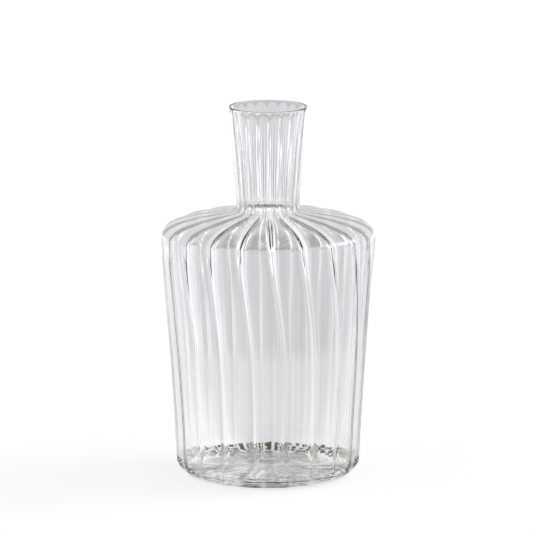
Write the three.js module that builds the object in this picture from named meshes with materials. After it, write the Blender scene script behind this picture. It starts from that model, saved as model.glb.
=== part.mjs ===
// Ribbed glass decanter: a mouth-blown bottle with a round heel, a tapered barrel, a domed shoulder,
// a flared neck and an open, fire-polished mouth. Ribs from the blowing mould run down the glass and turn
// with it.
// The bottle is divided where its glass is worked differently. Each division is a flat ring of fused glass.
// Sizes are in millimetres and angles in degrees, +Z is up, and the origin is on the table under the base.
import * as THREE from "three";

// Heights of the zones, each above the one before it
const BARREL_HEIGHT = 118.2;
const SHOULDER_HEIGHT = 15;
const NECK_HEIGHT = 52.1;
const LIP_HEIGHT = 4.2;

// Radii of the outer surface, over the crests of the ribs
const BASE_RADIUS = 49.6;
const SHOULDER_RADIUS = 57.9;
const NECK_RADIUS = 16.4;
const NECK_TOP_RADIUS = 20.6;
const LIP_RADIUS = 21;

// Curves of the outer surface
const HEEL_RADIUS = 10.5;
const BARREL_UPRIGHT = 22; // how far the barrel rises before its taper takes over
const BARREL_EDGE = 4; // how far below its widest line the barrel starts to turn in
const SHOULDER_EDGE = 4.7; // how far above that line the shoulder keeps turning in
const DOME_WIDTH = 36.2; // how far the dome keeps its slope, out from the neck
const DOME_SLOPE = 6;
const NECK_FILLET = 3.9;
const LIP_BEND = 1.3; // how soon the flare of the mouth bends at its two ends

// Underside
const PUNT_RADIUS = 30;
const PUNT_RISE = 2.5;

// Thickness of the glass between the ribs
const FLOOR = 2;
const WALL = 1.2;
const NECK_WALL = 0.8;
const RIM = 0.8;

// Ribs, which stand out a little on the outer surface and more on the inner one
const RIB_COUNT = 20;
const RIB_START = 2; // angle of one rib at the shoulder, from the front
const OUTER_RIB = 0.3;
const INNER_RIB = 0.5;

// Narrowness of the ribs, as a power of a cosine
const BODY_NARROWNESS = 50;
const NECK_NARROWNESS = 2;

// Heights of the ribs in the other zones, as shares of those in the barrel
const FLOOR_RIBS = 0.5;
const HEEL_RIBS = 0.4;
const SHOULDER_RIBS = 4;
const DOME_RIBS = 3;
const NECK_RIBS = 1.4;
const LIP_RIBS = 0.56;

// How the heights change on the way up a zone, as a share of the way or as a power of it
const HEEL_RIB_START = 0.5;
const BARREL_RIB_POWER = 16;
const DOME_RIB_END = 0.6;
const DOME_RIB_POWER = 3;
const NECK_RIB_POWER = 2;

// Turn of the ribs on their way down the barrel, which is greater on one side
const SWIRL = 6;
const UNEVEN_SWIRL = 4.5;
const SWIRL_SIDE = 60; // direction of that side, from the front to the right
const SWIRL_TOP = 135; // heights above the table between which they turn
const SWIRL_FOOT = 65;

// Fineness of the surface. Its segments are gathered at the ribs, at these shares of the way between two.
const RIB_PLACES = [0, 0.05, 0.22, 0.5, 0.78, 0.95];
const PUNT_STEPS = 3;
const HEEL_STEPS = 4;
const BARREL_STEPS = 7;
const DOME_STEPS = 7;
const FILLET_STEPS = 4;
const NECK_STEPS = 3;
const LIP_STEPS = 2;
const RIM_STEPS = 4;

// Clear glass with a trace of green
const GLASS_COLOUR = 0xe6eeea;
const GLASS_ROUGHNESS = 0.04;
const GLASS_OPACITY = 0.35;

const radians = THREE.MathUtils.degToRad;
const lerp = THREE.MathUtils.lerp;
const smoothstep = THREE.MathUtils.smoothstep;
const RADIAL = new THREE.Vector2(1, 0);

// Landmarks of the outer surface, as radius and height
const puntTop = new THREE.Vector2(0, PUNT_RISE);
const puntEdge = new THREE.Vector2(PUNT_RADIUS, 0);
const footEdge = new THREE.Vector2(BASE_RADIUS - HEEL_RADIUS, 0);
const heelTop = new THREE.Vector2(BASE_RADIUS, HEEL_RADIUS);
const barrelTop = new THREE.Vector2(SHOULDER_RADIUS, heelTop.y + BARREL_HEIGHT);
const neckCorner = new THREE.Vector2(NECK_RADIUS, barrelTop.y + SHOULDER_HEIGHT);
const neckTop = new THREE.Vector2(NECK_TOP_RADIUS, neckCorner.y + NECK_HEIGHT);
const rimEdge = new THREE.Vector2(LIP_RADIUS, neckTop.y + LIP_HEIGHT - RIM / 2);

const upNeck = neckTop.clone().sub(neckCorner).normalize();
const downDome = new THREE.Vector2(Math.cos(radians(DOME_SLOPE)), -Math.sin(radians(DOME_SLOPE)));
const domeTop = neckCorner.clone().addScaledVector(downDome, NECK_FILLET);
const neckFoot = neckCorner.clone().addScaledVector(upNeck, NECK_FILLET);

// Curves of the outer surface, each running from the base towards the mouth
const puntCurve = new THREE.CubicBezierCurve(
  puntTop,
  new THREE.Vector2(PUNT_RADIUS / 2, PUNT_RISE),
  new THREE.Vector2(PUNT_RADIUS / 2, 0),
  puntEdge,
);
const heelCurve = new THREE.EllipseCurve(
  footEdge.x,
  HEEL_RADIUS,
  HEEL_RADIUS,
  HEEL_RADIUS,
  -Math.PI / 2,
  0,
);
const barrelCurve = new THREE.CubicBezierCurve(
  heelTop,
  new THREE.Vector2(BASE_RADIUS, heelTop.y + BARREL_UPRIGHT),
  new THREE.Vector2(SHOULDER_RADIUS, barrelTop.y - BARREL_EDGE),
  barrelTop,
);
const domeCurve = new THREE.CubicBezierCurve(
  barrelTop,
  new THREE.Vector2(SHOULDER_RADIUS, barrelTop.y + SHOULDER_EDGE),
  domeTop.clone().addScaledVector(downDome, DOME_WIDTH),
  domeTop,
);
const filletCurve = new THREE.QuadraticBezierCurve(domeTop, neckCorner, neckFoot);
const neckCurve = new THREE.LineCurve(neckFoot, neckTop);
const lipCurve = new THREE.CubicBezierCurve(
  neckTop,
  neckTop.clone().addScaledVector(upNeck, LIP_BEND),
  new THREE.Vector2(LIP_RADIUS, rimEdge.y - LIP_BEND),
  rimEdge,
);

// A ring of the glass: its point on the outer profile, the way out of the glass there, the thickness of the
// glass, the shares of the rib height that its outer and inner surfaces carry, and how narrow its ribs are.
function makeRing(point, out, glass) {
  const plain = { thickness: WALL, outerShare: 1, innerShare: 1, narrowness: BODY_NARROWNESS };
  return { point, out, ...plain, ...glass };
}

// Rings at equal steps along a curve. An upright wall has its thickness measured level, so its ends are flat.
function ringsAlong(curve, steps, { upright = false, glassAt = () => ({}) } = {}) {
  return Array.from({ length: steps + 1 }, (_, step) => {
    const share = step / steps;
    const tangent = curve.getTangent(share);
    const out = upright ? RADIAL : new THREE.Vector2(tangent.y, -tangent.x);
    return makeRing(curve.getPoint(share), out, glassAt(share));
  });
}

// Joins runs of rings end to end, where the last ring of one run is the first of the next.
function joinRuns(first, ...others) {
  return others.reduce((rings, run) => rings.concat(run.slice(1)), first);
}

// The height of a rib at a share of the way to the next one, from 0 between the ribs to 1 on a crest.
function ribHeight(place, narrowness) {
  return ((1 + Math.cos(2 * Math.PI * place)) / 2) ** narrowness;
}

// A spot on the profile is a function of the place between two ribs, where the outer surface is hollow.
function outerSpot({ point, out, outerShare, narrowness }) {
  const groove = OUTER_RIB * outerShare;
  return (place) => point.clone().addScaledVector(out, -groove * (1 - ribHeight(place, narrowness)));
}

function innerSpot({ point, out, thickness, outerShare, innerShare, narrowness }) {
  const depth = thickness + OUTER_RIB * outerShare;
  const rib = INNER_RIB * innerShare;
  return (place) => point.clone().addScaledVector(out, -(depth + rib * ribHeight(place, narrowness)));
}

// The round top of the mouth, from its outer edge over to its inner edge.
function rimSpots() {
  const radius = RIM / 2;
  const arc = new THREE.EllipseCurve(rimEdge.x - radius, rimEdge.y, radius, radius, 0, Math.PI);
  const points = arc.getPoints(RIM_STEPS).slice(1, -1);
  return points.map((point) => () => point);
}

// The profile of a zone: up its outer surface, over the rim where it has one, and down its inner surface.
// A zone that doesn't start on the axis is closed by its flat lower end.
function zoneProfile(rings, rim = []) {
  const inner = rings.map(innerSpot).reverse();
  const spots = [...rings.map(outerSpot), ...rim, ...inner];
  return rings[0].point.x > 0 ? [...spots, spots[0]] : spots;
}

function ribTurn(around, height) {
  const straightened = smoothstep(height, SWIRL_FOOT, SWIRL_TOP);
  const swirl = SWIRL + UNEVEN_SWIRL * Math.cos(around - radians(SWIRL_SIDE));
  return radians(RIB_START + swirl * (1 - straightened));
}

// Spins a profile about the upright axis, then raises the ribs and turns them with the height.
function blowGlass(profile) {
  const segments = RIB_COUNT * RIB_PLACES.length;
  const geometry = new THREE.LatheGeometry(profile.map((spot) => spot(0)), segments);
  const position = geometry.getAttribute("position");
  for (let segment = 0; segment <= segments; segment++) {
    const place = RIB_PLACES[segment % RIB_PLACES.length];
    const rib = Math.floor(segment / RIB_PLACES.length) % RIB_COUNT;
    const around = (2 * Math.PI * (rib + place)) / RIB_COUNT;
    profile.forEach((spot, index) => {
      const { x: radius, y: height } = spot(place);
      const angle = around + ribTurn(around, height);
      const vertex = segment * profile.length + index;
      position.setXYZ(vertex, radius * Math.sin(angle), height, radius * Math.cos(angle));
    });
  }
  geometry.rotateX(Math.PI / 2);
  geometry.computeVertexNormals();
  return geometry;
}

function glassMesh(name, profile) {
  const material = new THREE.MeshStandardMaterial({
    color: GLASS_COLOUR,
    roughness: GLASS_ROUGHNESS,
    metalness: 0,
    transparent: true,
    opacity: GLASS_OPACITY,
  });
  const mesh = new THREE.Mesh(blowGlass(profile), material);
  mesh.name = name;
  return mesh;
}

// The floor with its punt and flat foot ring, and the round heel that thins to the wall.
function makeBase() {
  const punt = ringsAlong(puntCurve, PUNT_STEPS, {
    glassAt: (share) => ({ thickness: FLOOR, outerShare: 0, innerShare: FLOOR_RIBS * share }),
  });
  const heel = ringsAlong(heelCurve, HEEL_STEPS, {
    glassAt: (share) => {
      const low = lerp(FLOOR_RIBS, HEEL_RIBS, Math.sin(Math.PI * share));
      const innerShare = lerp(low, 1, smoothstep(share, HEEL_RIB_START, 1));
      return { thickness: lerp(FLOOR, WALL, share), outerShare: share, innerShare };
    },
  });
  heel.at(-1).out = RADIAL;
  return glassMesh("base", zoneProfile([...punt, ...heel]));
}

// The wall of the body, with ribs that grow tall just under the shoulder.
function makeBarrel() {
  const rings = ringsAlong(barrelCurve, BARREL_STEPS, {
    upright: true,
    glassAt: (share) => ({ innerShare: lerp(1, SHOULDER_RIBS, share ** BARREL_RIB_POWER) }),
  });
  return glassMesh("barrel", zoneProfile(rings));
}

// The dome and the fillet that turns it up into the neck. Its end rings are level with the walls they meet.
function makeShoulder() {
  const dome = ringsAlong(domeCurve, DOME_STEPS, {
    glassAt: (share) => {
      const tall = lerp(SHOULDER_RIBS, DOME_RIBS, smoothstep(share, 0, DOME_RIB_END));
      const late = share ** DOME_RIB_POWER;
      return {
        outerShare: lerp(1, NECK_RIBS, share),
        innerShare: lerp(tall, NECK_RIBS, late),
        narrowness: lerp(BODY_NARROWNESS, NECK_NARROWNESS, late),
      };
    },
  });
  const fillet = ringsAlong(filletCurve, FILLET_STEPS, {
    glassAt: (share) => neckGlass(lerp(WALL, NECK_WALL, share), NECK_RIBS),
  });
  const rings = joinRuns(dome, fillet);
  rings.at(0).out = RADIAL;
  rings.at(-1).out = RADIAL;
  return glassMesh("shoulder", zoneProfile(rings));
}

function neckGlass(thickness, ribs) {
  return { thickness, outerShare: ribs, innerShare: ribs, narrowness: NECK_NARROWNESS };
}

function makeNeck() {
  const rings = ringsAlong(neckCurve, NECK_STEPS, {
    upright: true,
    glassAt: (share) => neckGlass(NECK_WALL, lerp(NECK_RIBS, LIP_RIBS, share ** NECK_RIB_POWER)),
  });
  return glassMesh("neck", zoneProfile(rings));
}

// The flare of the mouth, where the ribs melt away into a smooth round rim.
function makeLip() {
  const rings = ringsAlong(lipCurve, LIP_STEPS, {
    upright: true,
    glassAt: (share) => neckGlass(lerp(NECK_WALL, RIM, share), LIP_RIBS * (1 - share)),
  });
  return glassMesh("lip", zoneProfile(rings, rimSpots()));
}

const decanter = new THREE.Group();
decanter.name = "decanter";
decanter.add(makeBase(), makeBarrel(), makeShoulder(), makeNeck(), makeLip());

export default decanter;
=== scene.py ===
"""Ribbed glass decanter: a mouth-blown vessel of clear glass, standing on a pale studio floor."""

import math
from typing import NamedTuple

import bpy
from bpy.props import FloatProperty, FloatVectorProperty, IntProperty, PointerProperty
from mathutils import Matrix, Vector


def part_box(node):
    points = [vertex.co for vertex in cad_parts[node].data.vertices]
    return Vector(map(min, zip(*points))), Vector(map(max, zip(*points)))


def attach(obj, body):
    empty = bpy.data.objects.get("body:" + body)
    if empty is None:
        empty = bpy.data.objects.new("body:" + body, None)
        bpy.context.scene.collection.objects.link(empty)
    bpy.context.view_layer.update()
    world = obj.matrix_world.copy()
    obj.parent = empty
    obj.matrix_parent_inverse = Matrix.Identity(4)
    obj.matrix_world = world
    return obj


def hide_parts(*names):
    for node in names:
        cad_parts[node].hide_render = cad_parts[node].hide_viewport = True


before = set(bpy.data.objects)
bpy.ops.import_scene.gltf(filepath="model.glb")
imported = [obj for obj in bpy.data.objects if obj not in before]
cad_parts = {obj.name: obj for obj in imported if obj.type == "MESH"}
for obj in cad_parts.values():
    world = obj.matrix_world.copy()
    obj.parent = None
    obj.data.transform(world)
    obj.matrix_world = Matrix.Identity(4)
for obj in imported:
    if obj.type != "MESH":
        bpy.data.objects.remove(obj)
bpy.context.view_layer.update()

bl_info = {
    "name": "Ribbed glass decanter",
    "version": (1, 0, 0),
    "blender": (4, 5, 0),
    "location": "3D Viewport > Sidebar > Decanter",
    "description": "Models a ribbed, mouth-blown glass decanter and the stage it stands on",
    "category": "Add Mesh",
}

MM = 0.001

# Heights of the seams in the glass, from the frame
HEEL_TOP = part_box("base")[1].z
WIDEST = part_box("barrel")[1].z
NECK_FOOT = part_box("shoulder")[1].z
NECK_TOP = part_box("neck")[1].z
RIM_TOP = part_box("lip")[1].z

# Columns of the cage to each rib, as shares of the space from one rib to the next
COLUMN_PLACES = (0.0, 0.05, 0.22, 0.78, 0.95)
RIB_COLUMNS = len(COLUMN_PLACES)

# Rings of the cage along each stretch of the profile, and the levels of subdivision that smooth it
PUNT_RINGS = 3
HEEL_RINGS = 5
BARREL_RINGS = 5
DOME_RINGS = 6
FILLET_RINGS = 4
NECK_RINGS = 3
LIP_RINGS = 2
RIM_RINGS = 4
SMOOTHING = 2

# Where along a stretch the ribs change or the glass turns, as a share of its length
HEEL_GROWTH = 0.5
DOME_SETTLED = 0.6
FILLET_CORNER = 0.5

# How late along a stretch the ribs change, as a power of the share of its length
EDGE_POWER = 16
DOME_POWER = 3
LIP_POWER = 2

# Height of the ribs under the lip, as a share of those at the foot of the neck
LIP_RIBS = 0.4

# Noise runs from 0 to 1 about its middle. The breaks are the levels between which a pattern comes in
NOISE_MIDDLE = 0.5
RING_BREAKS = (0.35, 0.6)
STREAK_BREAKS = (0.4, 0.7)
FRONT_BREAKS = (0.42, 0.5)

# Heights in metres between which the rings of the floor fade, and how little the streaks change with height
RING_FADE = (0.004, 0.010)
STREAK_STRETCH = 0.3

# How bright the studio looks through the glass, by bearing in degrees: 0 is behind the vessel, 90 on its
# right and -90 on its left. The floor has tones near the vessel, far from it and at the end of the studio.
# No tone is above the brightest
NEAR_FLOOR_TONES = {
    -180: 0.8, -130: 1.05, -60: 1.1, -20: 1.0, -6: 0.77,
    6: 0.75, 20: 0.9, 60: 1.0, 130: 1.0, 180: 0.8,
}
FAR_FLOOR_TONES = {
    -180: 0.75, -130: 0.85, -60: 1.1, -15: 1.1, -6: 0.85, -3: 0.66,
    5: 0.63, 8: 0.74, 15: 0.9, 60: 1.0, 130: 0.85, 180: 0.75,
}
END_FLOOR_TONES = {
    -180: 0.7, -130: 0.75, -60: 0.9, -20: 1.4, -8: 0.48,
    8: 0.48, 18: 1.5, 60: 0.9, 130: 0.75, 180: 0.7,
}
WALL_TONES = {
    -180: 0.45, -130: 1.0, -60: 0.85, -25: 0.84,
    0: 0.84, 25: 0.86, 60: 0.95, 130: 1.1, 180: 0.45,
}
BRIGHTEST_TONE = 2.0

# Distances from the vessel's axis, in metres, between which the floor changes
UNDER_EDGE = (0.03, 0.055)
FAR_EDGE = (0.28, 0.36)
END_EDGE = (0.76, 0.84)
MOUTH_EDGE = (0.90, 1.06)

# How much brighter the end of the floor is where the open mouth shows it, and the tint of the far floor
MOUTH_GLOW = 0.42
FAR_FLOOR_TINT = (0.99, 0.98, 1.02)

# The painted shadow where the vessel meets the floor, seen through the glass: its colour, the fineness for
# each metre of the noise that breaks it, how far its edge strays and how soft it is in metres, how far its
# painted beads stray in radians and in size, and the levels between which a bead comes in
PAINTED_SHADOW_TINT = (0.02, 0.05, 0.0)
CONTACT_GRAIN = 95.0
CONTACT_STRAY = 0.010
CONTACT_SOFT = 0.001
BEAD_STRAY = 3.0
BEAD_SIZE_STRAY = 2.0
BEAD_EDGE = (-0.4, -0.25)

# The painted shade under the front of the heel: its soft edge in metres, and the bearings between which it
# comes in
FRONT_SOFT = 0.0005
FRONT_SIDES = (145.0, 160.0)

# The studio's walls darken a little with height, up to a dark ceiling that starts higher at the sides.
# Elevations and bearings are in degrees
WALL_SHADE = 0.08
WALL_SHADE_RISE = (10.0, 30.0)
CEILING_SHADE = 0.95
CEILING_BACK = 41.0
CEILING_LIFT = 14.0
CEILING_SIDES = (20.0, 50.0)
CEILING_SOFT = 4.0

# The floor as the camera sees it: a grey that keeps the vessel's shadow, and the glow that lifts it to white
FLOOR_GREY = (0.5, 0.5, 0.5, 1)
FLOOR_LIFT = 0.7

# Width of the picture in pixels and of the sensor in millimetres, and how far the camera sees in metres
IMAGE_WIDTH = 533
SENSOR_WIDTH = 36.0
VIEW_END = 100.0

# How often light may pass through the glass, and how often it may bounce off it
LIGHT_BOUNCES = 20
GLOSSY_BOUNCES = 5


def length(name, description, default):
    """A size in metres, given in millimetres."""
    size = default * MM
    return FloatProperty(name=name, description=description, default=size, unit="LENGTH", precision=5)


def distance(name, description, default):
    """A size of the studio, given in metres."""
    return FloatProperty(name=name, description=description, default=default, unit="LENGTH")


def angle(name, description, default):
    """An angle, given in degrees."""
    return FloatProperty(name=name, description=description, default=math.radians(default), subtype="ANGLE")


def number(name, description, default):
    """A share, a count or another plain number."""
    return FloatProperty(name=name, description=description, default=default, precision=3)


def rib_share(name, description, default):
    """A height of ribs, as a share of those in the body."""
    return number(name, f"{description}, as a share of those in the body", default)


class VesselSizes(bpy.types.PropertyGroup):
    """Sizes of the glass. Radii are over the crests of the ribs."""

    base_radius: length("Base radius", "Radius of the barrel above the heel", 49.6)
    shoulder_radius: length("Shoulder radius", "Radius at the widest line", 57.9)
    neck_radius: length("Neck radius", "Radius where the neck meets the shoulder", 16.4)
    neck_top_radius: length("Neck top radius", "Radius under the flare of the mouth", 20.6)
    lip_radius: length("Lip radius", "Radius of the mouth", 21.0)
    barrel_upright: length("Barrel upright", "How far the barrel rises before its taper", 22.0)
    barrel_edge: length("Barrel edge", "How far below the widest line the barrel turns in", 4.0)
    shoulder_edge: length("Shoulder edge", "How far above the widest line the shoulder turns in", 4.7)
    dome_width: length("Dome width", "How far the dome keeps its slope, out from the neck", 36.2)
    dome_slope: angle("Dome slope", "Slope of the dome at the neck", 6.0)
    neck_fillet: length("Neck fillet", "Length of the turn from the dome into the neck", 3.9)
    lip_bend: length("Lip bend", "How soon the flare of the mouth bends", 1.3)
    punt_radius: length("Punt radius", "Radius of the hollow under the base", 30.0)
    punt_rise: length("Punt rise", "Height of the hollow under the base", 2.5)
    floor: length("Floor", "Thickness of the floor", 2.0)
    wall: length("Wall", "Thickness of the wall of the body", 1.2)
    neck_corner: length("Neck corner", "Thickness where the shoulder turns up into the neck", 1.3)
    neck_crease: number("Neck crease", "Sharpness of that turn on the inside", 0.6)
    neck_wall: length("Neck wall", "Thickness of the wall of the neck", 0.8)
    rim: length("Rim", "Thickness of the rim", 0.8)


class RibSizes(bpy.types.PropertyGroup):
    """The ribs that the mould leaves in the glass."""

    count: IntProperty(name="Count", description="Ribs round the vessel", default=20)
    start: angle("Start", "Angle of one rib at the shoulder, from the front", 2.0)
    outer: length("Outer height", "Height of the ribs on the outer surface", 0.3)
    inner: length("Inner height", "Height of the ribs on the inner surface", 0.5)
    sharpness: number("Sharpness", "How narrow the ribs of the body are, as a power of a cosine", 50.0)
    floor_share: rib_share("Floor share", "Height of the ribs on the floor", 0.5)
    heel_share: rib_share("Heel share", "Height of the ribs at the heel", 0.4)
    edge_share: rib_share("Edge share", "Height of the ribs at the shoulder's edge", 4.0)
    dome_share: rib_share("Dome share", "Height of the ribs on the dome", 3.0)
    neck_share: rib_share("Neck share", "Height of the ribs in the neck", 1.4)
    neck_sharpness: number("Neck sharpness", "How narrow the ribs of the neck are", 2.0)
    swirl: angle("Swirl", "How far the ribs turn on their way down the barrel", 6.0)
    swirl_uneven: angle("Uneven swirl", "How much further they turn on one side", 4.5)
    swirl_side: angle("Swirl side", "Direction of that side, from the front to the right", 60.0)
    swirl_top: length("Swirl top", "Height above the table where the ribs start to turn", 135.0)
    swirl_foot: length("Swirl foot", "Height above the table where the ribs stop turning", 65.0)


class GlassFinish(bpy.types.PropertyGroup):
    """The clear glass."""

    ior: number("IOR", "Index of refraction", 1.5)
    roughness: number("Roughness", "Roughness of the fire-polished surface", 0.0)
    tint: FloatVectorProperty(
        name="Tint",
        description="Colour that thick glass takes on",
        default=(0.1, 0.35, 0.05),
        size=3,
        subtype="COLOR",
    )
    tint_density: number("Tint density", "Strength of the tint for each metre of glass", 8.0)
    ring_pitch: length("Ring pitch", "Width of the rings that the blowing iron leaves round the floor", 1.3)
    ring_height: length("Ring height", "Height of those rings", 0.1)
    ring_stray: number("Ring stray", "How far the rings stray from a circle, in radians", 4.0)
    ring_grain: number("Ring grain", "Fineness of that straying, for each metre", 90.0)
    streak_grain: number("Streak grain", "Fineness of the upright streaks in the wall, per radian", 15.0)
    streak_height: length("Streak height", "Height of those streaks", 0.12)
    # Painted shade along the streaks, for the light that they bend
    painted_streak_shade: number("Streak shade", "How much darker the glass looks along them", 0.07)
    sway_height: length("Sway height", "Height of the soft unevenness of the blown glass", 0.15)
    sway_grain: number("Sway grain", "Fineness of that unevenness, for each metre", 45.0)


class StageSettings(bpy.types.PropertyGroup):
    """The floor, the light and the camera."""

    floor_size: distance("Floor size", "Width of the floor", 16.0)
    # Painted shade on the floor under the vessel, seen through the glass
    painted_under_shade: number("Shade", "How much darker the floor looks under the vessel", 0.05)
    # The painted shadow round the heel, seen through the glass: its strength, the radii it spans, the
    # painted dark beads that stand in for the ribs breaking it, and the painted crescent under the front of
    # the heel
    painted_contact_shade: number("Contact shade", "How much darker it is round the heel", 1.0)
    contact_inner: length("Contact start", "Radius where that shade starts", 48.0)
    contact_outer: length("Contact end", "Radius where it ends", 71.0)
    contact_beads: number("Contact beads", "Dark beads that the ribs break that shade into", 54.0)
    front_inner: length("Front start", "Radius where the shade under the front of the heel starts", 38.5)
    front_outer: length("Front end", "Radius where it ends", 45.0)
    camera_distance: distance("Camera distance", "From the vessel's axis", 3.6)
    camera_height: length("Camera height", "Point of the axis that the camera circles", 100.0)
    camera_elevation: angle("Camera elevation", "How far the camera looks down", 10.94)
    focal_pixels: number("Focal length", "Focal length in pixels of the picture", 6714.0)
    aim_height: length("Aim height", "Point of the axis in the middle of the picture", 112.84)
    aim_side: length("Aim side", "How far the aim lies to the right of the axis", -0.8)


def mix(start, end, share):
    """The value at a share of the way from start to end."""
    return start + (end - start) * share


def smoothstep(low, high, value):
    """0 below low, 1 above high, and a smooth rise between."""
    share = min(max((value - low) / (high - low), 0), 1)
    return share * share * (3 - 2 * share)


def curve_point(points, share):
    """The point and the direction at a share of the way along a curve that its inner points draw to them."""
    while len(points) > 2:
        points = [a.lerp(b, share) for a, b in zip(points, points[1:])]
    return points[0].lerp(points[1], share), (points[1] - points[0]).normalized()


class Glass(NamedTuple):
    """The glass at a ring: its thickness, the height of its ribs outside and inside, how soft the ribs are,
    and how sharp the inner surface turns."""

    thickness: float
    outer_rib: float = 1.0
    inner_rib: float = 1.0
    soft: float = 0.0
    crease: float = 0.0


class Ring(NamedTuple):
    """A ring of the outer surface: its radius and height, the way out of the glass, and the glass at it."""

    spot: Vector
    out: Vector
    glass: Glass

    def inside(self, groove):
        """The spot on the inner surface, a full thickness below the grooves between the outer ribs."""
        return self.spot - self.out * (self.glass.thickness + groove * self.glass.outer_rib)


def curve_rings(points, steps, glass_at):
    """Rings at equal steps along a curve, without its first point."""
    rings = []
    for step in range(1, steps + 1):
        share = step / steps
        spot, along = curve_point(points, share)
        rings.append(Ring(spot, Vector((along.y, -along.x)), glass_at(share)))
    return rings


def punt_rings(size, ribs):
    """The hollow under the base, from its middle out."""
    half = size.punt_radius / 2
    curve = [
        Vector((0, size.punt_rise)),
        Vector((half, size.punt_rise)),
        Vector((half, 0)),
        Vector((size.punt_radius, 0)),
    ]
    return curve_rings(curve, PUNT_RINGS, lambda share: Glass(size.floor, 0.0, share * ribs.floor_share))


def heel_rings(size, ribs):
    """The round heel, from the outer edge of the foot ring up to the barrel."""
    centre = Vector((size.base_radius - HEEL_TOP, HEEL_TOP))
    rings = []
    for step in range(HEEL_RINGS + 1):
        share = step / HEEL_RINGS
        turn = share * math.pi / 2
        out = Vector((math.sin(turn), -math.cos(turn)))
        height = mix(ribs.floor_share, ribs.heel_share, math.sin(math.pi * share))
        height = mix(height, 1, smoothstep(HEEL_GROWTH, 1, share))
        glass = Glass(mix(size.floor, size.wall, share), share, height)
        rings.append(Ring(centre + out * HEEL_TOP, out, glass))
    return rings


def body_rings(size, ribs, dome_top, down_dome):
    """The barrel up to the widest line, and the dome in from there to the turn into the neck."""
    up = Vector((0, 1))
    heel_top = Vector((size.base_radius, HEEL_TOP))
    widest = Vector((size.shoulder_radius, WIDEST))
    barrel = [heel_top, heel_top + up * size.barrel_upright, widest - up * size.barrel_edge, widest]
    dome = [widest, widest + up * size.shoulder_edge, dome_top + down_dome * size.dome_width, dome_top]

    def barrel_glass(share):
        return Glass(size.wall, inner_rib=mix(1, ribs.edge_share, share**EDGE_POWER))

    def dome_glass(share):
        late = share**DOME_POWER
        height = mix(ribs.edge_share, ribs.dome_share, smoothstep(0, DOME_SETTLED, share))
        return Glass(size.wall, mix(1, ribs.neck_share, share), mix(height, ribs.neck_share, late), late)

    return curve_rings(barrel, BARREL_RINGS, barrel_glass) + curve_rings(dome, DOME_RINGS, dome_glass)


def fillet_rings(size, ribs, fillet):
    """The turn from the dome up into the neck, with more glass in its corner."""

    def glass_at(share):
        thickness = mix(size.wall, size.neck_wall, share)
        crease = 0
        if share == FILLET_CORNER:
            thickness = size.neck_corner
            crease = size.neck_crease
        return Glass(thickness, ribs.neck_share, ribs.neck_share, 1, crease)

    return curve_rings(fillet, FILLET_RINGS, glass_at)


def neck_rings(size, ribs, neck_foot, neck_top, up_neck):
    """The neck, and the flare of the mouth up to the edge of the rim."""
    up = Vector((0, 1))
    rim_edge = Vector((size.lip_radius, RIM_TOP - size.rim / 2))
    neck = [neck_foot, neck_top]
    lip = [neck_top, neck_top + up_neck * size.lip_bend, rim_edge - up * size.lip_bend, rim_edge]

    def neck_glass(share):
        height = ribs.neck_share * mix(1, LIP_RIBS, share**LIP_POWER)
        return Glass(size.neck_wall, height, height, 1)

    def lip_glass(share):
        height = ribs.neck_share * LIP_RIBS * (1 - share)
        return Glass(mix(size.neck_wall, size.rim, share), height, height, 1)

    return curve_rings(neck, NECK_RINGS, neck_glass) + curve_rings(lip, LIP_RINGS, lip_glass)


def outer_rings(size, ribs):
    """Rings up the outer surface, from the middle of the underside to the edge of the rim."""
    neck_corner = Vector((size.neck_radius, NECK_FOOT - size.neck_fillet))
    neck_top = Vector((size.neck_top_radius, NECK_TOP))
    up_neck = (neck_top - neck_corner).normalized()
    down_dome = Vector((math.cos(size.dome_slope), -math.sin(size.dome_slope)))
    dome_top = neck_corner + down_dome * size.neck_fillet
    neck_foot = neck_corner + up_neck * size.neck_fillet
    return [
        *punt_rings(size, ribs),
        *heel_rings(size, ribs),
        *body_rings(size, ribs, dome_top, down_dome),
        *fillet_rings(size, ribs, [dome_top, neck_corner, neck_foot]),
        *neck_rings(size, ribs, neck_foot, neck_top, up_neck),
    ]


class Spot(NamedTuple):
    """A ring of the whole skin: its radius and height, its ribs outside and inside, how soft they are, and
    how sharp the skin turns."""

    place: Vector
    outer_rib: float
    inner_rib: float
    soft: float
    crease: float = 0.0


def skin_spots(size, ribs):
    """The whole skin of the glass, up the outside, over the rim and down the inside."""
    rings = outer_rings(size, ribs)
    spots = [Spot(ring.spot, ring.glass.outer_rib, 0, ring.glass.soft) for ring in rings]
    radius = size.rim / 2
    centre = Vector((size.lip_radius - radius, RIM_TOP - radius))
    for step in range(1, RIM_RINGS):
        turn = math.pi * step / RIM_RINGS
        spots.append(Spot(centre + Vector((math.cos(turn), math.sin(turn))) * radius, 0, 0, 1))
    for ring in reversed(rings):
        glass = ring.glass
        spots.append(Spot(ring.inside(ribs.outer), 0, glass.inner_rib, glass.soft, glass.crease))
    return spots


def rib_turn(ribs, around, height):
    """How far the glass is turned at a place: the ribs lean on their way down, more on one side."""
    fall = 1 - smoothstep(ribs.swirl_foot, ribs.swirl_top, height)
    swirl = ribs.swirl + ribs.swirl_uneven * math.cos(around - ribs.swirl_side)
    return ribs.start + swirl * fall


def swirl_glass(vessel, ribs):
    """Turns each point of the glass about the upright axis, as the ribs turn there."""
    for point in vessel.data.vertices:
        around = math.atan2(point.co.x, -point.co.y)
        point.co = Matrix.Rotation(rib_turn(ribs, around, point.co.z), 3, "Z") @ point.co


def deselect_all():
    """Leaves no object selected."""
    bpy.ops.object.select_all(action="DESELECT")


def turn_selected(turn):
    """Turns what is selected about the upright axis, anticlockwise from above."""
    bpy.ops.transform.rotate(value=-turn, orient_axis="Z", center_override=(0, 0, 0))


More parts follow.
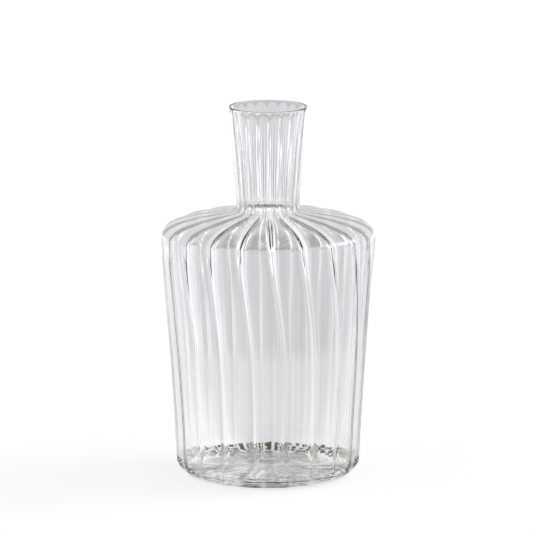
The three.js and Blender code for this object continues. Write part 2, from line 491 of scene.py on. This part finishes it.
def start_circle(spot, ribs):
    """A closed disc in the middle of the underside, its edge points gathered towards the ribs."""
    deselect_all()
    bpy.ops.mesh.primitive_circle_add(
        vertices=ribs.count * RIB_COLUMNS, radius=spot.x, fill_type="TRIFAN", location=(0, 0, spot.y)
    )
    bpy.ops.object.transform_apply(location=True, rotation=False, scale=False)
    vessel = bpy.context.object
    pitch = 2 * math.pi / ribs.count
    # The circle's first point lies at the back, and the ribs are counted from the front
    half_turn = math.pi
    for column, place in enumerate(COLUMN_PLACES):
        gather = (place - column / RIB_COLUMNS) * pitch
        bpy.ops.object.mode_set(mode="EDIT")
        bpy.ops.mesh.select_all(action="DESELECT")
        bpy.ops.object.mode_set(mode="OBJECT")
        for point in vessel.data.vertices[1:]:
            point.select = (point.index - 1) % RIB_COLUMNS == column
        bpy.ops.object.mode_set(mode="EDIT")
        bpy.ops.mesh.select_mode(type="VERT")
        turn_selected(gather + half_turn)
    bpy.ops.mesh.select_mode(type="EDGE")
    bpy.ops.mesh.select_all(action="SELECT")
    bpy.ops.mesh.region_to_loop()
    return vessel


def blow_cage(spots, ribs):
    """Extrudes the disc ring by ring up the outside, over the rim and down the inside, and closes it."""
    vessel = start_circle(spots[0].place, ribs)
    for before, after in zip(spots, spots[1:]):
        grow = after.place.x / before.place.x
        rise = after.place.y - before.place.y
        bpy.ops.mesh.extrude_region_move(TRANSFORM_OT_translate={"value": (0, 0, rise)})
        bpy.ops.transform.resize(value=(grow, grow, 1), center_override=(0, 0, 0))
        bpy.ops.transform.edge_crease(value=after.crease - before.crease)
    bpy.ops.mesh.edge_face_add()
    bpy.ops.mesh.poke()
    bpy.ops.mesh.select_all(action="SELECT")
    bpy.ops.mesh.normals_make_consistent(inside=False)
    bpy.ops.object.mode_set(mode="OBJECT")
    return vessel


def apply_modifier(piece, kind, **settings):
    """Adds a modifier to the active piece and applies it."""
    modifier = piece.modifiers.new(kind.title(), kind)
    for name, value in settings.items():
        setattr(modifier, name, value)
    bpy.ops.object.modifier_apply(modifier=modifier.name)


def shape_ribs(vessel, spots, ribs, name, depth):
    """Shapes the ribs on one side of the glass, under the name that a spot has for them. A depth above 0
    raises them on the glass, and one below 0 hollows the glass between them."""
    group = vessel.vertex_groups.new(name=name)
    columns = ribs.count * RIB_COLUMNS
    tallest = max(getattr(spot, name) for spot in spots)
    for ring, spot in enumerate(spots):
        sharpness = mix(ribs.sharpness, ribs.neck_sharpness, spot.soft)
        for column in range(columns):
            wave = math.cos(2 * math.pi * COLUMN_PLACES[column % RIB_COLUMNS])
            crest = ((1 + wave) / 2) ** sharpness
            share = crest if depth > 0 else 1 - crest
            weight = getattr(spot, name) / tallest * share
            group.add([1 + ring * columns + column], weight, "REPLACE")
    apply_modifier(vessel, "DISPLACE", strength=depth * tallest, mid_level=0, vertex_group=name)


class Value:
    """A shader value. Python's operators on it add Math nodes."""

    def __init__(self, shader, socket):
        self.shader = shader
        self.socket = socket

    def math(self, operation, *others):
        """The result of a Math node on this value and others."""
        values = dict(enumerate((self, *others)))
        return self.shader.node("Math", {"operation": operation}, values)

    def __add__(self, other):
        return self.math("ADD", other)

    __radd__ = __add__

    def __mul__(self, other):
        return self.math("MULTIPLY", other)

    __rmul__ = __mul__

    def __sub__(self, other):
        return self.math("SUBTRACT", other)

    def __rsub__(self, other):
        return (self * -1) + other

    def __truediv__(self, other):
        return self.math("DIVIDE", other)

    def rise(self, low, high):
        """0 below low, 1 above high, and a smooth rise between."""
        settings = {"interpolation_type": "SMOOTHSTEP", "clamp": True}
        return self.shader.node("MapRange", settings, {"Value": self, "From Min": low, "From Max": high})

    def inside(self, low, high, soft):
        """1 between low and high, with soft edges."""
        return self.rise(low - soft, low + soft) * (1 - self.rise(high - soft, high + soft))

    def ramp(self, tones):
        """A smooth curve through tones, each given at a value, from the lowest value to the highest."""
        low = min(tones)
        span = max(tones) - low
        curve = self.shader.node("ValToRGB", values={"Fac": (self - low) / span})
        ramp = curve.socket.node.color_ramp
        ramp.interpolation = "EASE"
        for value in list(tones)[1:-1]:
            ramp.elements.new((value - low) / span)
        for element, tone in zip(ramp.elements, tones.values()):
            level = tone / BRIGHTEST_TONE
            element.color = (level, level, level, 1)
        return curve * BRIGHTEST_TONE


class Shader:
    """A node tree that is written as expressions."""

    def __init__(self, owner):
        owner.use_nodes = True
        self.tree = owner.node_tree
        self.tree.nodes.clear()

    def node(self, kind, settings=None, values=None, output=0):
        """Adds a node, sets its settings and then its sockets, and gives one of its outputs."""
        node = self.tree.nodes.new("ShaderNode" + kind)
        for name, value in (settings or {}).items():
            setattr(node, name, value)
        for name, value in (values or {}).items():
            if isinstance(value, Value):
                self.tree.links.new(value.socket, node.inputs[name])
            else:
                node.inputs[name].default_value = value
        return Value(self, node.outputs[output])

    def parts(self, kind, values=None):
        """Adds a node and gives all its outputs by name."""
        node = self.node(kind, values=values).socket.node
        return {socket.name: Value(self, socket) for socket in node.outputs}

    def noise(self, place, grain, detail=1.0):
        """Smooth noise over a place, finer with more grain."""
        return self.node("TexNoise", values={"Vector": place, "Scale": grain, "Detail": detail})

    def colour(self, channels):
        """A colour from the values of its channels."""
        return self.node("CombineColor", values=dict(enumerate(channels)))

    def grey(self, tone):
        """A colour with the same value in each channel."""
        return self.colour((tone, tone, tone))

    def finish(self, kind, values):
        """Adds the output node, which has nothing to give."""
        node = self.tree.nodes.new("ShaderNode" + kind)
        for name, value in values.items():
            self.tree.links.new(value.socket, node.inputs[name])


def from_axis(spot):
    """The distance of a place from the upright axis."""
    return (spot["X"] * spot["X"] + spot["Y"] * spot["Y"]).math("SQRT")


def compass(spot):
    """The bearing of a place in degrees: 0 behind the vessel, 90 on its right and 180 at the camera."""
    return spot["X"].math("ARCTAN2", spot["Y"]) * math.degrees(1)


def floor_rings(shader, finish, place, spot):
    """Height of the rings that the blowing iron leaves round the floor, astray and broken."""
    grain = shader.noise(place, finish.ring_grain)
    turns = from_axis(spot) * (2 * math.pi / finish.ring_pitch) + (grain - NOISE_MIDDLE) * finish.ring_stray
    rings = turns.math("SINE") * grain.rise(*RING_BREAKS)
    return rings * (1 - spot["Z"].rise(*RING_FADE)) * finish.ring_height


def wall_streaks(shader, finish, spot):
    """Upright streaks in the wall, from 0 to 1, which die out over the shoulder."""
    radius = from_axis(spot)
    around = {0: spot["X"] / radius, 1: spot["Y"] / radius, 2: spot["Z"] * STREAK_STRETCH}
    upright = shader.node("CombineXYZ", values=around)
    return shader.noise(upright, finish.streak_grain) * (1 - spot["Z"].rise(WIDEST, NECK_FOOT))


def make_glass(finish):
    """Clear glass with a trace of green where it is thick."""
    material = bpy.data.materials.new("clear_glass")
    shader = Shader(material)
    place = shader.node("TexCoord", output="Object")
    spot = shader.parts("SeparateXYZ", {0: place})
    streaks = wall_streaks(shader, finish, spot)
    sway = shader.noise(place, finish.sway_grain)
    rings = floor_rings(shader, finish, place, spot)
    height = rings + sway * finish.sway_height + streaks * finish.streak_height
    surface = shader.node(
        "BsdfPrincipled",
        values={
            # The base colour darkens along the streaks: a painted shade for the light that they bend
            "Base Color": shader.grey(1 - finish.painted_streak_shade * streaks.rise(*STREAK_BREAKS)),
            "Roughness": finish.roughness,
            "IOR": finish.ior,
            "Transmission Weight": 1.0,
            "Normal": shader.node("Bump", values={"Height": height, "Distance": 1.0}),
        },
    )
    volume = shader.node(
        "VolumeAbsorption", values={"Color": (*finish.tint, 1), "Density": finish.tint_density}
    )
    shader.finish("OutputMaterial", {"Surface": surface, "Volume": volume})
    return material


class DECANTER_OT_vessel(bpy.types.Operator):
    """Blow the ribbed glass vessel"""

    bl_idname = "decanter.vessel"
    bl_label = "Vessel"

    def execute(self, context):
        size = context.scene.decanter_vessel
        ribs = context.scene.decanter_ribs
        spots = skin_spots(size, ribs)
        vessel = blow_cage(spots, ribs)
        vessel.name = "vessel"
        shape_ribs(vessel, spots, ribs, "outer_rib", -ribs.outer)
        shape_ribs(vessel, spots, ribs, "inner_rib", ribs.inner)
        swirl_glass(vessel, ribs)
        apply_modifier(vessel, "SUBSURF", levels=SMOOTHING, render_levels=SMOOTHING)
        bpy.ops.object.shade_smooth()
        vessel.data.materials.append(make_glass(context.scene.decanter_glass))
        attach(vessel, "root")
        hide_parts("base", "barrel", "shoulder", "neck", "lip")
        return {"FINISHED"}


def floor_tones(stage, near, side):
    """How bright each colour channel of the floor looks through the glass."""
    far = near.rise(*FAR_EDGE)
    end = near.rise(*END_EDGE)
    tone = side.ramp(FAR_FLOOR_TONES) * far * (1 - end) + side.ramp(NEAR_FLOOR_TONES) * (1 - far)
    tone = tone + side.ramp(END_FLOOR_TONES) * end * (1 + MOUTH_GLOW * near.rise(*MOUTH_EDGE))
    # Painted shade on the floor under the vessel
    tone = tone * (1 - stage.painted_under_shade * (1 - near.rise(*UNDER_EDGE)))
    return [tone * (1 + (tint - 1) * far) for tint in FAR_FLOOR_TINT]


def painted_contact_shade(shader, stage, place, near, side):
    """How dark the floor is painted where the vessel meets it: beads all round, and a crescent at the front.
    """
    grain = shader.noise(place, CONTACT_GRAIN, detail=0.0)
    stray = grain - NOISE_MIDDLE
    ring = (near + stray * CONTACT_STRAY).inside(stage.contact_inner, stage.contact_outer, CONTACT_SOFT)
    beads = (side * math.radians(stage.contact_beads) + stray * BEAD_STRAY).math("COSINE")
    beads = (beads + stray * BEAD_SIZE_STRAY).rise(*BEAD_EDGE)
    front = near.inside(stage.front_inner, stage.front_outer, FRONT_SOFT)
    front = front * side.math("ABSOLUTE").rise(*FRONT_SIDES) * grain.rise(*FRONT_BREAKS)
    return stage.painted_contact_shade * (ring * beads).math("MAXIMUM", front)


def make_floor_paint(stage):
    """A pale floor that keeps the vessel's shadow, and glows in the studio's tones where glass shows it.
    There it has painted shade under the vessel and a painted shadow round the heel.
    """
    material = bpy.data.materials.new("floor")
    shader = Shader(material)
    path = shader.parts("LightPath")
    place = shader.node("TexCoord", output="Object")
    spot = shader.parts("SeparateXYZ", {0: place})
    near = from_axis(spot)
    side = compass(spot)
    # Painted shadow round the heel, which the floor shows only through the glass
    shade = painted_contact_shade(shader, stage, place, near, side)
    tones = floor_tones(stage, near, side)
    paint = [tone * (1 - shade) + dark * shade for tone, dark in zip(tones, PAINTED_SHADOW_TINT)]
    glow = shader.node("Emission", values={"Color": shader.colour(paint)})
    lit = shader.node("BsdfDiffuse", values={"Color": FLOOR_GREY})
    lift = shader.node("Emission", values={"Color": shader.grey(path["Is Camera Ray"] * FLOOR_LIFT)})
    plain = shader.node("AddShader", values={0: lit, 1: lift})
    glass_ray = path["Is Transmission Ray"].math("MAXIMUM", path["Is Glossy Ray"])
    both = shader.node("MixShader", values={0: glass_ray, 1: plain, 2: glow})
    shader.finish("OutputMaterial", {"Surface": both})
    return material


def make_floor(stage):
    """The floor that the vessel stands on."""
    deselect_all()
    bpy.ops.mesh.primitive_plane_add(size=stage.floor_size)
    floor = bpy.context.object
    floor.name = "floor"
    floor.data.materials.append(make_floor_paint(stage))


class Glow(NamedTuple):
    """A bright patch of the studio: the bearings and the elevations that it spans in degrees, how soft its
    edges are, and its strength."""

    sides: tuple
    side_soft: float
    rises: tuple
    rise_soft: float
    strength: float

    def light(self, side, rise):
        """How much light comes from a bearing and an elevation."""
        across = side.inside(*self.sides, self.side_soft)
        upright = rise.inside(*self.rises, self.rise_soft)
        return across * upright * self.strength


WINDOW = Glow(sides=(58.0, 95.0), side_soft=6.0, rises=(28.0, 50.0), rise_soft=5.0, strength=3.0)
LAMP = Glow(sides=(12.0, 18.0), side_soft=1.0, rises=(67.0, 71.0), rise_soft=1.0, strength=12.0)


def make_world():
    """The studio round the vessel: white to the camera, and shaded where it lights the glass."""
    world = bpy.data.worlds.new("studio")
    bpy.context.scene.world = world
    shader = Shader(world)
    seen = shader.parts("LightPath")["Is Camera Ray"]
    ray = shader.parts("SeparateXYZ", {0: shader.node("TexCoord", output="Generated")})
    side = compass(ray)
    rise = ray["Z"].math("ARCSINE") * math.degrees(1)
    ceiling = CEILING_BACK + CEILING_LIFT * side.math("ABSOLUTE").rise(*CEILING_SIDES)
    tone = side.ramp(WALL_TONES) * (1 - WALL_SHADE * rise.rise(*WALL_SHADE_RISE))
    tone = tone * (1 - CEILING_SHADE * (rise - ceiling).rise(-CEILING_SOFT, CEILING_SOFT))
    light = tone + WINDOW.light(side, rise) + LAMP.light(side, rise)
    paint = shader.grey(light * (1 - seen) + seen)
    shader.finish("OutputWorld", {"Surface": shader.node("Background", values={"Color": paint})})


def make_camera(stage):
    """The camera, which looks down at the vessel from the front."""
    data = bpy.data.cameras.new("camera")
    camera = bpy.data.objects.new("camera", data)
    bpy.context.scene.collection.objects.link(camera)
    elevation = stage.camera_elevation
    back = Vector((0, -math.cos(elevation), math.sin(elevation)))
    camera.location = Vector((0, 0, stage.camera_height)) + back * stage.camera_distance
    aim = Vector((stage.aim_side, 0, stage.aim_height))
    camera.rotation_euler = (aim - camera.location).to_track_quat("-Z", "Y").to_euler()
    data.sensor_width = SENSOR_WIDTH
    data.lens = stage.focal_pixels / IMAGE_WIDTH * SENSOR_WIDTH
    data.clip_end = VIEW_END
    bpy.context.scene.camera = camera


class DECANTER_OT_stage(bpy.types.Operator):
    """Set the floor, the light and the camera"""

    bl_idname = "decanter.stage"
    bl_label = "Stage"

    def execute(self, context):
        stage = context.scene.decanter_stage
        make_floor(stage)
        make_world()
        make_camera(stage)
        context.scene.view_settings.view_transform = "Standard"
        paths = context.scene.cycles
        paths.max_bounces = LIGHT_BOUNCES
        paths.glossy_bounces = GLOSSY_BOUNCES
        paths.transmission_bounces = LIGHT_BOUNCES
        return {"FINISHED"}


class DECANTER_PT_panel(bpy.types.Panel):
    """The decanter's pieces, in the sidebar"""

    bl_idname = "DECANTER_PT_panel"
    bl_label = "Ribbed decanter"
    bl_space_type = "VIEW_3D"
    bl_region_type = "UI"
    bl_category = "Decanter"

    def draw(self, context):
        for operator in OPERATORS:
            self.layout.operator(operator.bl_idname)


OPERATORS = (DECANTER_OT_vessel, DECANTER_OT_stage)
SETTINGS = {
    "decanter_vessel": VesselSizes,
    "decanter_ribs": RibSizes,
    "decanter_glass": GlassFinish,
    "decanter_stage": StageSettings,
}
CLASSES = (*SETTINGS.values(), *OPERATORS, DECANTER_PT_panel)


def register():
    for cls in CLASSES:
        bpy.utils.register_class(cls)
    for name, group in SETTINGS.items():
        setattr(bpy.types.Scene, name, PointerProperty(type=group))


def unregister():
    for name in SETTINGS:
        delattr(bpy.types.Scene, name)
    for cls in reversed(CLASSES):
        bpy.utils.unregister_class(cls)


def main():
    register()
    bpy.ops.decanter.vessel()
    bpy.ops.decanter.stage()


if __name__ == "__main__":
    main()
